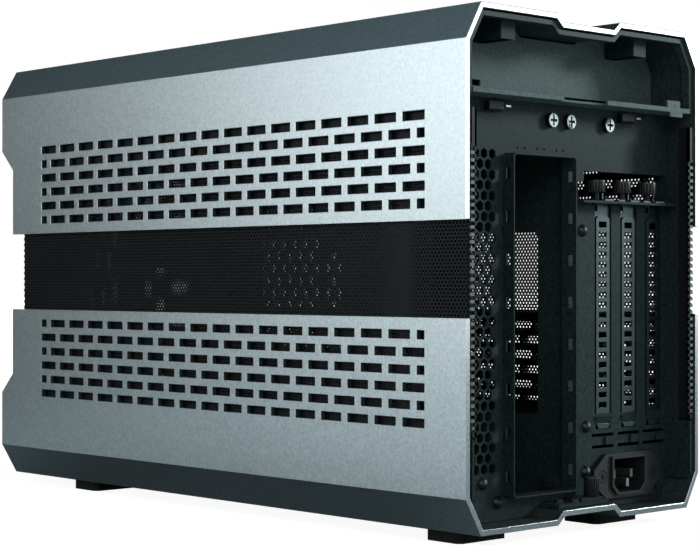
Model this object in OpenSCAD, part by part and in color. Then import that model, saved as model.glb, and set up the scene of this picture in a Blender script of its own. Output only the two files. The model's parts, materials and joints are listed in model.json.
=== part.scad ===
// Mini-ITX computer case: two folded aluminium covers round a black steel chassis.
// X runs across the case, Y from the front (-Y) to the back (+Y), Z up.
// The origin is the bottom centre, on the surface that the feet stand on.
// Heights inside the modules are measured from the middle of the case.

/* [Case] */

// Width over the two covers
body_w = 174; // [168:1:182]
// Length from front edge to back edge of the covers
body_l = 372; // [366:1:390]
// Height of the two covers together, without feet
body_h = 239; // [235:1:250]
// Height of the feet
feet_h = 6; // [4:0.5:12]

/* [Covers] */

// Thickness of the aluminium covers
cover_t = 2.6; // [2:0.1:3]
// Width of the chamfer along the long edges
chamfer_x = 10; // [8:0.5:12]
// Height of the chamfer along the long edges
chamfer_z = 17; // [14:0.5:20]
// Width of the shallow channel at the surface
channel_w = 46.4; // [40:0.2:52]
// Depth of the shallow channel
channel_d = 3.9; // [2.5:0.1:4.5]
// Slope run on each side of the channel
channel_run = 4.6; // [3:0.1:6]
// Height of the open band between the two covers
band_h = 44; // [40:1:50]
// How far the front edge steps back next to the band
front_step = 11.4; // [6:0.2:14]
// Height above the middle where the front edge starts to step out
step_start = 60; // [50:1:66]

/* [Brick vents] */

// Length of a full vent slot
slot_l = 13.9; // [11:0.1:15]
// Bridge between two vent slots of a row
slot_gap = 4.3; // [3:0.1:6]
// Height of a vent slot
slot_h = 4.2; // [3:0.1:5]
// Distance between rows of vent slots
row_pitch = 8.05; // [7:0.05:9]
// Rows of vent slots in each cover
vent_rows = 6; // [3:1:6]
// Height of the first row above the middle
first_row = 29.8; // [28:0.1:32]
// Start of the rows behind the front edge
vent_start = 41.5; // [38:0.5:46]
// Least clear length behind the last vent slot
vent_end = 25; // [20:0.5:40]

/* [Chassis] */

// Thickness of the steel sheets
steel_t = 1.2; // [1:0.1:1.5]
// Thickness of the fine mesh sheets
mesh_t = 1; // [0.8:0.1:1.2]
// Gap between a mesh panel and the cover outside it
mesh_gap = 1; // [0.6:0.1:1.5]
// Width of the folded returns of the mesh panels
mesh_return = 4; // [3:0.5:5]
// Step from the tray lip down to the top edge of the mesh panels
mesh_drop = 7; // [5:0.5:12]
// Bottom edge of the mesh panels above the underside of the covers
mesh_lift = 44.5; // [41:0.5:50]
// Front edge of the mesh panels behind the front edge of the covers
mesh_front = 18; // [15:0.5:22]
// Depth of the rear panel behind the back edge of the covers
rear_recess = 15.7; // [14:0.1:17]
// Height of the tray lip above the board connector opening
shelf_gap = 25.65; // [24:0.05:28]
// Clearance between pieces that seat on each other
seat = 0.3; // [0.2:0.05:0.4]

/* [Board opening] */

// Long side of the board connector opening
io_l = 158.75; // [158:0.05:160]
// Short side of the board connector opening
io_w = 44.45; // [44:0.05:45.5]
// Distance from the centre of the first slot to the frame of the opening
io_step = 27.9; // [27:0.1:29]
// Height of the opening above the chassis floor
io_lift = 6.1; // [5.6:0.1:8]
// How far the frame of the opening stands out of the rear panel
io_proud = 6.4; // [4:0.2:8]
// Wall of the frame round the opening
io_wall = 0.8; // [0.6:0.1:1]
// Height of the standoffs under the board
standoff_h = 7.6; // [6.5:0.1:8]

/* [Expansion slots] */

// Distance between two expansion slots
card_pitch = 20.32; // [20.32:0.01:20.4]
// Distance from the side frame to the centre of the last slot
card_margin = 10.36; // [10.2:0.02:11]
// Width of the opening of a slot
card_w = 13.1; // [12.4:0.1:14]
// Width of the raised middle of a slot cover
cover_rib_w = 10.4; // [9:0.1:11]
// Height of the slots above the chassis floor
card_lift = 40.5; // [39:0.5:44]
// Length of the raised middle of a slot cover
rib_l = 97.5; // [88:0.5:99]
// Distance between the windows
window_pitch = 4.93; // [4.5:0.01:6]
// Step from the raised middle up to the ledge that carries the slot covers
ledge_rise = 7.1; // [6:0.1:8]
// Depth of the ledge
ledge_d = 7.7; // [7:0.1:8.5]

/* [Hexagon vent] */

// Distance between hexagons in a row
hex_pitch = 5.6; // [5.4:0.1:6]
// Width of a hexagon over its flats
hex_flat = 4.5; // [3.5:0.1:4.6]
// Distance from the frame of the opening to the first column
hex_gap = 7.8; // [7.4:0.1:9]
// Least height of the hexagons above the chassis floor
hex_lift = 19; // [18:0.5:40]

/* [Screws and button] */

// Head radius of the screws across the rear panel
rear_knob_r = 3.6; // [3.2:0.1:4]
// Head radius of the screws on the ledge
slot_knob_r = 4.7; // [4:0.1:4.8]
// Radius of the latch knob
latch_knob_r = 3.7; // [3.2:0.1:3.8]
// Radius of a screw shank
shank_r = 1.6; // [1.4:0.05:1.8]
// Clearance round a shank
shank_gap = 0.3; // [0.3:0.05:0.4]
// Radius of the power button
button_r = 5.7; // [4.5:0.1:6.5]
// Travel of the power button
button_travel = 1.2; // [0.8:0.1:1.4]

/* [Hidden] */

half_w = body_w / 2;
half_l = body_l / 2;
half_h = body_h / 2;
mid_z = feet_h + half_h;

// Turning angles of the cover profile
chamfer_turn = atan(chamfer_x / chamfer_z);
chamfer_slope = sqrt(chamfer_x * chamfer_x + chamfer_z * chamfer_z) / chamfer_x;
channel_turn = atan(channel_d / channel_run);
channel_floor = half_h - channel_d;

// Planes of the chassis
mesh_out = half_w - cover_t - mesh_gap;
side_out = mesh_out - mesh_t - seat;
side_in = side_out - steel_t;
panel_y = half_l - rear_recess;
panel_in = panel_y - steel_t;
mesh_y0 = -half_l + mesh_front;
mesh_y1 = half_l - 0.5;
fascia_t = 2.5;
fascia_back = mesh_y0 + fascia_t;
front_y0 = mesh_y0 + 10;
front_y1 = front_y0 + steel_t;

// Heights inside the covers
cover_in = cover_t + seat;
floor_z0 = -(channel_floor - cover_t) + seat;
floor_z1 = floor_z0 + steel_t;
liner_t = 1.2;
liner_in = cover_t + liner_t;
rail_w = 9.7;
rail_x = half_w - 37.6;
rail_top = half_h - liner_in - seat;
rail_h = 9.5;
rail_z = rail_top - rail_h;
tray_z1 = rail_z;
tray_z0 = tray_z1 - steel_t;
wall_y1 = half_l - 26;
wall_y0 = wall_y1 - steel_t;

// Heights that follow the board opening
io_z = floor_z1 + io_lift + io_l / 2;
io_top = io_z + io_l / 2;
io_bottom = io_z - io_l / 2;
shelf_z = io_top + shelf_gap;
mesh_top = shelf_z - mesh_drop;
mesh_bottom = half_h - mesh_lift;
side_z0 = floor_z1 + 16.5;
side_z1 = shelf_z;

// Slots and slot covers
slot_z0 = floor_z1 + card_lift;
rib_top = slot_z0 + rib_l;
ledge_z = rib_top + ledge_rise;
cutout_top = ledge_z + 14.7;
card_x = -side_in + card_margin + 2 * card_pitch;
plate_t = 0.9;
plate_y1 = panel_in;
plate_y0 = plate_y1 - plate_t;
plate_w = 18.4;
ledge_y = panel_y + ledge_d;
card_screw_x = 10;
card_screw_y = panel_y + 3.3;

// Board side
io_out_w = io_w + 2 * io_wall;
io_out_l = io_l + 2 * io_wall;
io_x = card_x + io_step + io_out_w / 2;
board_x = io_x - io_w / 2 + 2.9;
tray_x1 = board_x - standoff_h;
tray_x0 = tray_x1 - steel_t;

// Inlet
inlet_x = -side_in + 34.3;
inlet_z = floor_z1 + 10;
inlet_flange_t = 2.4;
inlet_flange_l = 26.6;
inlet_pitch = 40;

// Screw places on the rear panel
rear_screw_x = [io_x - 10.4, io_x - 23.7, card_x - 2.5];
rear_screw_z = shelf_z - 7.8;
rivet_places = [[io_x + 37.6, floor_z1 + 12.9], [io_x + 27.4, floor_z1 + 3.4],
    [card_x + 16, ledge_z - 14.5], [card_x + 13.3, slot_z0 - 5.4], [inlet_x + 30.3, floor_z1 + 13.2]];

// Power button, front window and front connectors
button_z = channel_floor - cover_in - 16.7;
window_w = 2 * (side_in - 12);
window_z0 = -mesh_bottom + 6;
window_z1 = button_z - 30;
board_front_y = front_y0 - 3.6;
port_places = [[-side_in + 56.9, 9.2, 3.4], [-side_in + 38.9, 13.4, 5.8],
    [-side_in + 20.9, 13.4, 5.8]];

silver = [0.72, 0.75, 0.76];
plain_steel = [0.62, 0.65, 0.66];
dark_steel = [0.20, 0.24, 0.24];
black_mesh = [0.05, 0.06, 0.07];
black_plastic = [0.07, 0.08, 0.08];

// Moves a shape from the middle of the case to its height above the floor
module at_mid() {
    translate([0, 0, mid_z]) children();
}

// Draws a section across the case (x, z) out along the length
module along_y(y0, y1) {
    translate([0, y1, 0])
        rotate([90, 0, 0])
            linear_extrude(y1 - y0) children();
}

// Draws a side view (y, z) out across the case
module along_x(x0, x1) {
    translate([x0, 0, 0])
        rotate([90, 0, 90])
            linear_extrude(x1 - x0) children();
}

module block(x0, x1, y0, y1, z0, z1) {
    translate([x0, y0, z0]) cube([x1 - x0, y1 - y0, z1 - z0]);
}

module bore_y(x, z, r, y0, y1) {
    translate([x, y1, z])
        rotate([90, 0, 0])
            cylinder(r = r, h = y1 - y0, $fn = 48);
}

module round_rect(w, l, r) {
    square([w - 2 * r, l], center = true);
    square([w, l - 2 * r], center = true);
    for (sx = [-1, 1], sz = [-1, 1])
        translate([sx * (w / 2 - r), sz * (l / 2 - r)]) circle(r = r, $fn = 32);
}

// Height of the chamfer, set in by i, at the place x across the case
function chamfer_at(x, i) =
    half_h - chamfer_z + (half_w - x) * chamfer_z / chamfer_x - i * chamfer_slope;

// Place across the case of the chamfer, set in by i, at the height z
function chamfer_x_at(z, i) =
    half_w - (z - half_h + chamfer_z + i * chamfer_slope) * chamfer_x / chamfer_z;

// Right half of the cover profile, set in by i, from the side wall to the channel
function half_profile(i) = [
    [half_w - i, half_h - chamfer_z - i * tan(chamfer_turn / 2)],
    [half_w - chamfer_x - i * tan((90 - chamfer_turn) / 2), half_h - i],
    [channel_w / 2 + i * tan(channel_turn / 2), half_h - i],
    [channel_w / 2 - channel_run + i * tan(channel_turn / 2), channel_floor - i]];

function mirrored(p) = [for (k = [len(p) - 1 : -1 : 0]) [-p[k][0], p[k][1]]];

// Full profile above the height z0
module profile(i, z0) {
    half = half_profile(i);
    intersection() {
        polygon(concat([[half_w - i, -half_h]], half, mirrored(half), [[-half_w + i, -half_h]]));
        translate([-half_w, z0]) square([body_w, half_h - z0]);
    }
}

// Profile of a closed ring: the upper half and the lower half of the case
module ring_outline(i) {
    profile(i, 0);
    mirror([0, 1]) profile(i, 0);
}

// A folded cover, the upper one
module cover_shape() {
    difference() {
        along_y(-half_l, half_l)
            difference() {
                profile(0, band_h / 2);
                profile(cover_t, band_h / 2 - 1);
            }
        along_x(-half_w - 1, half_w + 1)
            polygon([[-half_l - 1, band_h / 2 - 1],
                [-half_l + front_step, band_h / 2 - 1],
                [-half_l + front_step, step_start],
                [-half_l, step_start + front_step],
                [-half_l - 1, step_start + front_step]]);
        brick_vents();
    }
}

// Rows of vents through both side walls, the rows next to the band with short end slots
module brick_vents() {
    pitch = slot_l + slot_gap;
    short_l = (slot_l - slot_gap) / 2;
    vent_count = floor((body_l - vent_start - vent_end + slot_gap) / pitch);
    y0 = -half_l + vent_start;
    y_end = y0 + vent_count * pitch - slot_gap;
    for (row = [0 : vent_rows - 1]) {
        z = first_row + row * row_pitch;
        offset_row = row % 2 == 0;
        for (k = [0 : vent_count - (offset_row ? 2 : 1)]) {
            y = y0 + k * pitch + (offset_row ? short_l + slot_gap : 0);
            block(-half_w - 1, half_w + 1, y, y + slot_l, z - slot_h / 2, z + slot_h / 2);
        }
        if (offset_row) {
            block(-half_w - 1, half_w + 1, y0, y0 + short_l, z - slot_h / 2, z + slot_h / 2);
            block(-half_w - 1, half_w + 1, y_end - short_l, y_end, z - slot_h / 2,
                z + slot_h / 2);
        }
    }
}

module upper_cover() {
    color(silver)
        at_mid() cover_shape();
}

module lower_cover() {
    color(silver)
        at_mid() mirror([0, 0, 1]) cover_shape();
}

// Thin steel liner of the upper cover, with a deeper rim round the back
module upper_liner() {
    rim_gap = 0.8;
    rim_t = 2.2;
    rim_y0 = half_l - 6;
    color(dark_steel)
        at_mid() {
            along_y(-half_l + front_step + 24, rim_y0 + 1)
                difference() {
                    profile(cover_t, shelf_z);
                    profile(liner_in, shelf_z - 1);
                }
            along_y(rim_y0, half_l - 1.5)
                difference() {
                    profile(cover_t + rim_gap, shelf_z);
                    profile(cover_t + rim_gap + rim_t, shelf_z - 1);
                }
        }
}

// Fine mesh side panel with its returns; the perforation is finer than this sheet shows
module mesh_panel() {
    block(mesh_out - mesh_t, mesh_out, mesh_y0, mesh_y1, -mesh_bottom, mesh_top);
    block(mesh_out - mesh_return, mesh_out, mesh_y0, mesh_y0 + mesh_t, -mesh_bottom, mesh_top);
    block(mesh_out - mesh_return, mesh_out, mesh_y1 - mesh_t, mesh_y1, -mesh_bottom, mesh_top);
}

module left_mesh() {
    color(black_mesh)
        at_mid() mesh_panel();
}

module right_mesh() {
    color(black_mesh)
        at_mid() mirror([1, 0, 0]) mesh_panel();
}

// Front fascia: closed outline inside both covers, a window for the mesh
module front_fascia() {
    notch_x = mesh_out - mesh_return - seat;
    post_r = 3;
    color(black_plastic)
        at_mid() {
            difference() {
                along_y(mesh_y0, fascia_back)
                    ring_outline(cover_in);
                for (s = [-1, 1])
                    block(s > 0 ? notch_x : -half_w, s > 0 ? half_w : -notch_x,
                        mesh_y0 - 1, fascia_back + 1, -mesh_bottom - seat, mesh_top + seat);
                along_y(mesh_y0 - 1, fascia_back + 1)
                    translate([0, (window_z0 + window_z1) / 2])
                        round_rect(window_w, window_z1 - window_z0, 6);
                bore_y(0, button_z, button_r + seat, mesh_y0 - 1, fascia_back + 1);
                for (p = port_places)
                    along_y(mesh_y0 - 1, fascia_back + 1)
                        translate([p[0], button_z])
                            square([p[1] + 2 * seat, p[2] + 2 * seat], center = true);
            }
            for (sx = [-1, 1], z = [-mesh_bottom - 12, mesh_top + 3.7])
                bore_y(sx * (side_in - 8), z, post_r, fascia_back - 0.5, front_y0);
        }
}

// Fine mesh behind the window of the fascia, wider than the window all round
module front_mesh() {
    lap = 4;
    color(black_mesh)
        at_mid()
            block(-window_w / 2 - lap, window_w / 2 + lap, fascia_back, fascia_back + mesh_t,
                window_z0 - lap, window_z1 + lap);
}

module power_button() {
    color(black_plastic)
        at_mid() {
            bore_y(0, button_z, button_r, mesh_y0 - 0.8, fascia_back + 0.8);
            bore_y(0, button_z, button_r + 1.4, fascia_back + seat, fascia_back + seat + 1);
        }
}

// Circuit board on two posts behind the fascia, with the switch behind the button
module front_board() {
    board_x0 = -side_in + 4.9;
    board_x1 = 18;
    switch_y = fascia_back + seat + 1 + button_travel + seat;
    color([0.05, 0.16, 0.10])
        at_mid() {
            block(board_x0, board_x1, board_front_y, board_front_y + 1.6, button_z - 8,
                button_z + 6);
            block(-4, 4, switch_y, board_front_y + 0.2, button_z - 4, button_z + 4);
            for (x = [board_x0 + 4.5, board_x1 - 5])
                bore_y(x, button_z - 4, 2.5, fascia_back, board_front_y + 0.2);
        }
}

// Metal shells of the three front connectors
module front_ports() {
    shell_t = 0.5;
    color(plain_steel)
        at_mid()
            for (p = port_places)
                difference() {
                    along_y(mesh_y0 + 0.2, board_front_y)
                        translate([p[0], button_z]) square([p[1], p[2]], center = true);
                    along_y(mesh_y0 - 1, board_front_y - 1)
                        translate([p[0], button_z])
                            difference() {
                                square([p[1] - 2 * shell_t, p[2] - 2 * shell_t], center = true);
                                translate([0, 0.2]) square([p[1] - 3.4, 0.9], center = true);
                            }
                }
}

// Half section of the folded base tray, from the side wall over the slope to the middle
function tray_half(i) = let(x = side_out - i, z = floor_z0 + i)
    [[x, side_z0], [x, -chamfer_at(x, cover_in + i)],
        [chamfer_x_at(-z, cover_in + i), z]];

module base_tray() {
    outer = tray_half(0);
    inner = tray_half(steel_t);
    vent_pitch = 22;
    vent_y0 = front_y0 + 30;
    vent_last = floor((panel_in - 40 - vent_y0) / vent_pitch);
    color(dark_steel)
        at_mid()
            difference() {
                along_y(front_y0, panel_in)
                    difference() {
                        polygon(concat(outer, mirrored(outer)));
                        polygon(concat([[inner[0][0], side_z0 + 1]], inner, mirrored(inner),
                            [[-inner[0][0], side_z0 + 1]]));
                    }
                for (x = [-48, 22], k = [0 : vent_last])
                    block(x, x + 26, vent_y0 + k * vent_pitch, vent_y0 + k * vent_pitch + 10,
                        floor_z0 - 1, floor_z1 + 1);
            }
}

// Open side frame: top and bottom rails, two uprights, a flange folded in at the top
module side_frame() {
    y0 = front_y0 + 15;
    y1 = panel_in - 6;
    z1 = mesh_top - 2;
    flange_w = 10;
    along_x(side_in, side_out)
        difference() {
            polygon([[front_y0, side_z0], [panel_in, side_z0], [panel_in, side_z1],
                [front_y0, side_z1]]);
            translate([(y0 + y1) / 2, (z1 - mesh_bottom) / 2])
                round_rect(y1 - y0, z1 + mesh_bottom, 5);
        }
    block(side_out - flange_w, side_out, front_y1, panel_in, side_z1 - steel_t, side_z1);
}

module left_frame() {
    color(dark_steel)
        at_mid() side_frame();
}

module right_frame() {
    color(dark_steel)
        at_mid() mirror([1, 0, 0]) side_frame();
}

// Front plate with a fan opening, its screw holes and a slot for cables
module front_plate() {
    fan_z = shelf_z - 67;
    fan_screws = 105;
    cable_z = floor_z1 + 36.5;
    color(dark_steel)
        at_mid()
            difference() {
                along_y(front_y0, front_y1)
                    polygon(concat([[side_in, side_z1]], tray_half(steel_t),
                        mirrored(tray_half(steel_t)), [[-side_in, side_z1]]));
                bore_y(0, fan_z, 56, front_y0 - 1, front_y1 + 1);
                for (sx = [-1, 1], sz = [-1, 1])
                    bore_y(sx * fan_screws / 2, fan_z + sz * fan_screws / 2, 2.2,
                        front_y0 - 1, front_y1 + 1);
                along_y(front_y0 - 1, front_y1 + 1)
                    translate([0, cable_z]) round_rect(90, 24, 6);
            }
}

// Hexagon with points up, width over flats w
module hexagon(w) {
    rotate(30) circle(r = w / sqrt(3), $fn = 6);
}

// Rear panel, with the ledge and both side flanges folded out of the same sheet
module rear_panel() {
    flange_d = 7.3;
    tab_z1 = -mesh_bottom - 1;
    tab_z0 = floor_z1 + 6;
    tab_r = 4;
    tab_y = half_l - 0.6;
    color(dark_steel)
        at_mid() {
            difference() {
                along_y(panel_in, panel_y)
                    intersection() {
                        mirror([0, 1]) profile(cover_in, -shelf_z);
                        translate([-side_out, -half_h]) square([2 * side_out, body_h]);
                    }
                rear_cuts();
            }
            for (s = [-1, 1]) {
                block(s > 0 ? side_in : -side_out, s > 0 ? side_out : -side_in,
                    panel_in, panel_y + flange_d, tab_z0 + 10, shelf_z - 1);
                mirror([s > 0 ? 0 : 1, 0, 0])
                    along_x(side_in, side_out)
                        union() {
                            translate([panel_y - 0.6, tab_z0 + tab_r])
                                square([tab_y - panel_y + 0.6, tab_z1 - tab_z0 - tab_r]);
                            translate([panel_y - 0.6, tab_z0])
                                square([tab_y - panel_y + 0.6 - tab_r, tab_z1 - tab_z0]);
                            translate([tab_y - tab_r, tab_z0 + tab_r])
                                circle(r = tab_r, $fn = 32);
                        }
            }
            difference() {
                block(-side_in, card_x + 24.6, panel_y - 0.4, ledge_y, ledge_z - steel_t,
                    ledge_z);
                for (k = [0 : 2])
                    translate([card_x + card_screw_x - k * card_pitch, card_screw_y, 0])
                        cylinder(r = shank_r + shank_gap, h = 100, $fn = 32);
            }
            for (k = [0 : 2]) {
                x = card_x - k * card_pitch;
                block(x - 5.4, x - 0.9, panel_y - 0.1, panel_y + 1.1, tie_z - 1.9, tie_z + 1.9);
                along_x(x - card_w / 2 + 0.4, x + card_w / 2 - 0.4)
                    polygon([[panel_y - 0.1, slot_z0 - 0.9], [panel_y + 1, slot_z0 - 1.2],
                        [panel_y + 0.1, slot_z0 - 4.3], [panel_y - 0.1, slot_z0 - 4.3]]);
            }
        }
}

// Middle height of the bridges for cable ties below the slots
tie_z = slot_z0 - 13;
tie_gap = 5.7;

// Every opening that is cut in the rear panel
module rear_cuts() {
    y0 = panel_in - 1;
    y1 = panel_y + 1;
    row_step = hex_pitch * sqrt(3) / 2;
    hex_x = io_x + io_out_w / 2 + hex_gap;
    last_row = floor((io_top - floor_z1 - hex_lift) / row_step);
    last_col = floor((side_in - 9.5 - hex_x) / hex_pitch);
    along_y(y0, y1) {
        for (row = [0 : last_row], col = [0 : last_col])
            if (row % 2 == 0 || col < last_col)
                translate([hex_x + (col + (row % 2) / 2) * hex_pitch, io_top - row * row_step])
                    hexagon(hex_flat);
        translate([io_x, io_z]) round_rect(io_out_w + 0.4, io_out_l + 0.4, 2.2);
        translate([-side_in, ledge_z])
            square([card_x + 15 + side_in, cutout_top - ledge_z]);
        translate([-side_in, ledge_z])
            square([card_x + 19.2 + side_in, 9.4]);
        for (k = [0 : 2]) {
            x = card_x - k * card_pitch;
            translate([x - card_w / 2, slot_z0])
                square([card_w, ledge_z - steel_t - slot_z0]);
            translate([x, slot_z0 - 5.8]) square([11.4, 3], center = true);
            for (side = [-1, 1])
                translate([x, tie_z + side * tie_gap / 2]) square([17.4, 1.6], center = true);
        }
        for (x = [10.6, -3.7, -17.8], step = [-2.5, 2.5])
            translate([io_x + x + step, io_top + 3.8]) circle(r = 0.6, $fn = 16);
        for (z = [io_bottom + 10.8 : 20 : io_top - 20], step = [-2.4, 2.4])
            translate([io_x - io_out_w / 2 - 2, z + step]) circle(r = 0.6, $fn = 16);
        translate([inlet_x, floor_z1])
            polygon([[23.7, -6], [23.7, 0.7], [14.9, 0.5], [12.5, -2.7], [12.5, -6]]);
        translate([inlet_x, inlet_z]) square([28, 20], center = true);
        translate([inlet_x - 25.3, inlet_z - 7])
            rotate(-35) square([1.8, 5], center = true);
    }
    for (x = rear_screw_x)
        bore_y(x, rear_screw_z, shank_r + shank_gap, y0, y1);
    for (s = [-1, 1])
        bore_y(inlet_x + s * inlet_pitch / 2, inlet_z, 1.8, y0, y1);
    for (p = rivet_places)
        bore_y(p[0], p[1], 1.8, y0, y1);
}

// Folded frame round the board opening, with its base flange behind the rear panel
module opening_frame() {
    base_w = 2.4;
    y0 = panel_in - steel_t;
    y1 = panel_y + io_proud;
    window_step = 20.1;
    window_last = floor((io_l - 17.3) / window_step);
    color(dark_steel)
        at_mid()
            difference() {
                union() {
                    along_y(y0, panel_in)
                        translate([io_x, io_z])
                            square([io_out_w + 2 * base_w, io_out_l + 2 * base_w], center = true);
                    along_y(y0, y1)
                        translate([io_x, io_z]) round_rect(io_out_w, io_out_l, 2);
                }
                along_y(y0 - 1, y1 + 1)
                    translate([io_x, io_z]) round_rect(io_w, io_l, 1.2);
                for (k = [0 : window_last])
                    block(io_x - io_out_w, io_x + io_out_w, panel_y + 1.7, panel_y + 4.1,
                        io_top - 11.25 - k * window_step, io_top - 6.05 - k * window_step);
            }
}

// Tray behind the upper compartment: wall, floor and lip from one sheet,
// with the holes of the wall at a set share of the room under the rails
module rear_tray() {
    lip_y0 = half_l - 2.2;
    lip_y1 = lip_y0 + steel_t;
    lip_h = 2.4;
    reach = half_w - cover_in - 3;
    wall_gap = 0.8;
    right = -side_in;
    floor_top = shelf_z + steel_t;
    room = (rail_z - floor_top) / 25.7;
    color(dark_steel)
        at_mid() {
            difference() {
                along_y(wall_y0, wall_y1) profile(liner_in + wall_gap, shelf_z);
                for (s = [-1, 1])
                    block(s * rail_x - rail_w / 2 - seat, s * rail_x + rail_w / 2 + seat,
                        wall_y0 - 1, wall_y1 + 1, rail_z, half_h);
                block(rail_x - 0.8, rail_x + 4.8, wall_y0 - 1, wall_y1 + 1,
                    floor_top + 5.6 * room, floor_top + 8.3 * room);
                block(-46.8, -12.9, wall_y0 - 1, wall_y1 + 1, floor_top + 2.6 * room,
                    floor_top + 4.4 * room);
            }
            difference() {
                union() {
                    block(-reach, reach, wall_y0, lip_y1, shelf_z, shelf_z + steel_t);
                    block(-reach, reach, lip_y0, lip_y1, shelf_z, shelf_z + lip_h);
                }
                block(-14.8, 17.6, lip_y0 - 2, lip_y1 + 1, shelf_z - 1, shelf_z + lip_h + 1);
            }
            block(right + 7.7, right + 18.4, lip_y0, lip_y1, shelf_z, shelf_z + 5.8);
            block(right + 5.7, right + 16.1, lip_y0, lip_y1, shelf_z - 2.3, shelf_z + 1);
        }
}

// Fan tray under the top: folded sheet with two round openings and fan screw slots
module fan_tray() {
    tray_w = side_in - 8.9;
    fan_screws = 105;
    tray_y0 = front_y1 + 2;
    color(dark_steel)
        at_mid()
            difference() {
                union() {
                    block(-tray_w, tray_w, tray_y0, wall_y0, tray_z0, tray_z1);
                    for (s = [-1, 1])
                        block(s > 0 ? tray_w - steel_t : -tray_w, s > 0 ? tray_w : -tray_w + steel_t,
                            tray_y0, wall_y0, side_z1, tray_z1);
                    for (s = [-1, 1])
                        block(s > 0 ? tray_w - steel_t : -side_out, s > 0 ? side_out : -tray_w + steel_t,
                            tray_y0, wall_y0, side_z1, side_z1 + steel_t);
                }
                for (y = [-62, 62]) {
                    translate([0, y, tray_z0 - 1]) cylinder(r = 56, h = 4, $fn = 96);
                    for (sx = [-1, 1], sy = [-1, 1])
                        translate([sx * fan_screws / 2, y + sy * fan_screws / 2, tray_z0 - 1])
                            cylinder(r = 2.2, h = 4, $fn = 32);
                }
            }
}

// Rail that carries the upper cover: a channel open at the bottom with a closed back end
module rail_shape(x) {
    wall = 1.2;
    y0 = front_y1 + 6;
    y1 = half_l - 8.2;
    difference() {
        block(x - rail_w / 2, x + rail_w / 2, y0, y1, rail_z, rail_top);
        block(x - rail_w / 2 + wall, x + rail_w / 2 - wall, y0 - 1, y1 - wall, rail_z - 1,
            rail_top - wall);
    }
}

module left_rail() {
    color(dark_steel)
        at_mid() rail_shape(rail_x);
}

module right_rail() {
    color(dark_steel)
        at_mid() rail_shape(-rail_x);
}

// Standoff places as (y, z): one hole is set in from the corner of the board
board_l = 170;
board_rear_y = panel_in - 0.5;
board_z0 = floor_z1 + 0.9;
board_front_edge = board_rear_y - board_l;
upper_hole_z = board_z0 + board_l - 6.35;
lower_hole_z = board_z0 + 6.17;
board_holes = [[board_rear_y - 33.02, upper_hole_z], [board_front_edge + 4.9, upper_hole_z],
    [board_rear_y - 10.16, lower_hole_z], [board_front_edge + 4.9, lower_hole_z]];

// Upright tray between the board side and the card side
module motherboard_tray() {
    y0 = board_front_edge - 8;
    y1 = panel_in - steel_t - seat;
    z1 = upper_hole_z + 5;
    window_mid = lower_hole_z + 78.4;
    color(dark_steel)
        at_mid()
            difference() {
                union() {
                    along_x(tray_x0, tray_x1)
                        difference() {
                            polygon([[y0, floor_z1], [y1, floor_z1], [y1, z1], [y0, z1]]);
                            translate([board_rear_y - 42.1, window_mid]) round_rect(45, 90, 3);
                            translate([y1 - 1.8, window_mid + 38.5]) square([2.8, 12]);
                            translate([y0 + 12, window_mid + 6]) round_rect(12, 60, 5);
                            translate([board_rear_y - 88.6, z1 - 9]) round_rect(60, 8, 3);
                        }
                    block(tray_x0 - 12, tray_x1, y0, y1, floor_z1, floor_z1 + steel_t);
                }
                for (h = board_holes)
                    translate([tray_x0 - 1, h[0], h[1]])
                        rotate([0, 90, 0]) cylinder(r = 1.9, h = 4, $fn = 32);
            }
}

// Hexagonal standoffs with a threaded bore for the board screws
module standoffs() {
    color([0.70, 0.56, 0.28])
        at_mid()
            for (h = board_holes)
                translate([tray_x1, h[0], h[1]])
                    rotate([0, 90, 0])
                        difference() {
                            cylinder(r = 2.9, h = standoff_h, $fn = 6);
                            translate([0, 0, 1.2]) cylinder(r = 1.55, h = standoff_h, $fn = 32);
                        }
}

// Bracket for a small power supply in the front half of the case
module supply_bracket() {
    y0 = front_y0 + 74;
    x0 = tray_x1 + 3;
    x1 = side_in - 4.6;
    xc = (x0 + x1) / 2;
    z_low = floor_z1;
    zc = z_low + 68;
    color(dark_steel)
        at_mid() {
            difference() {
                block(x0, x1, y0, y0 + steel_t, z_low, zc + 70);
                along_y(y0 - 1, y0 + steel_t + 1)
                    translate([xc, zc]) round_rect(46, 92, 3);
                for (sx = [-1, 1], sz = [-1, 1])
                    bore_y(xc + sx * 51.5 / 2, zc + sz * 113 / 2, 1.8, y0 - 1, y0 + steel_t + 1);
            }
            block(x0, x1, y0 - 14, y0 + steel_t, z_low, z_low + steel_t);
        }
}

// Outline of a raised rib from z0 to z1, rounded at the top
module rib_outline(w, z0, z1) {
    r = 2.4;
    translate([-w / 2, z0]) square([w, z1 - z0 - r]);
    translate([-w / 2 + r, z0]) square([w - 2 * r, z1 - z0]);
    for (s = [-1, 1])
        translate([s * (w / 2 - r), z1 - r]) circle(r = r, $fn = 32);
}

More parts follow.
